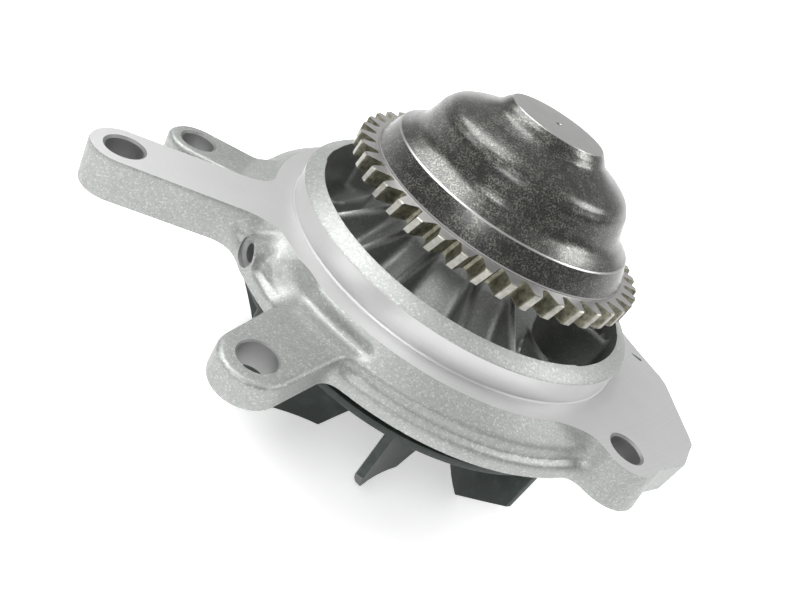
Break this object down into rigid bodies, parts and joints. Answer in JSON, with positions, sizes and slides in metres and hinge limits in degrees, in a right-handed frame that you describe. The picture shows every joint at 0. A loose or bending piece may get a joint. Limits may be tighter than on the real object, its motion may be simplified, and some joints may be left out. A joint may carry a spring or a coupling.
{
  "type": "water pump",
  "caption": "Gear driven engine water pump: cast flanged housing with arms and lugs, bell shaped drive gear above, bladed impeller below.",
  "frame": {"origin": "where the pump axis meets the machined mounting face", "axes": "+Z along the pump axis towards the drive gear; the long arm points to -X and -Y"},
  "size_m": [0.2018, 0.1838, 0.1199],
  "materials": {
    "cast_aluminium": "cast, shot blasted, machined on the faces",
    "forged_steel": "dark forged skin, bright cut teeth",
    "ground_steel": "ground",
    "sheet_steel": "pressed",
    "spring_steel": "oiled",
    "cage_plastic": "moulded",
    "seal_rubber": "moulded",
    "seal_brass": "drawn",
    "carbon": "lapped carbon",
    "ceramic": "lapped ceramic",
    "black_steel": "black coated, satin"
  },
  "bodies": {
    "pump_body": {"housing": "cast_aluminium", "bearing_ring": "ground_steel", "bearing_shield": "sheet_steel", "retaining_ring": "spring_steel", "oil_seal_case": "sheet_steel", "oil_seal_lip": "seal_rubber", "garter_spring": "spring_steel", "seal_cup": "seal_brass", "seal_bellows": "seal_rubber", "seal_spring": "spring_steel", "carbon_ring": "carbon"},
    "rotor": {"drive_gear": "forged_steel", "pump_shaft": "ground_steel", "slinger": "sheet_steel", "mating_ring": "ceramic", "mating_boot": "seal_rubber", "impeller_hub": "black_steel", "impeller": "black_steel"},
    "ball_set": {"bearing_balls": "ground_steel", "ball_cage": "cage_plastic"},
    "roller_set": {"bearing_rollers": "ground_steel", "roller_cage": "cage_plastic"}
  },
  "joints": [
    {"name": "rotor_spin", "type": "hinge", "parent": "pump_body", "child": "rotor", "pos_m": [0, 0, 0], "axis": [0, 0, 1], "continuous": true},
    {"name": "ball_orbit", "type": "hinge", "parent": "pump_body", "child": "ball_set", "pos_m": [0, 0, 0], "axis": [0, 0, 1], "continuous": true},
    {"name": "roller_orbit", "type": "hinge", "parent": "pump_body", "child": "roller_set", "pos_m": [0, 0, 0], "axis": [0, 0, 1], "continuous": true}
  ],
  "couplings": [
    {"joint": "ball_orbit", "follows": "rotor_spin", "ratio": 0.36408},
    {"joint": "roller_orbit", "follows": "rotor_spin", "ratio": 0.38636}
  ]
}
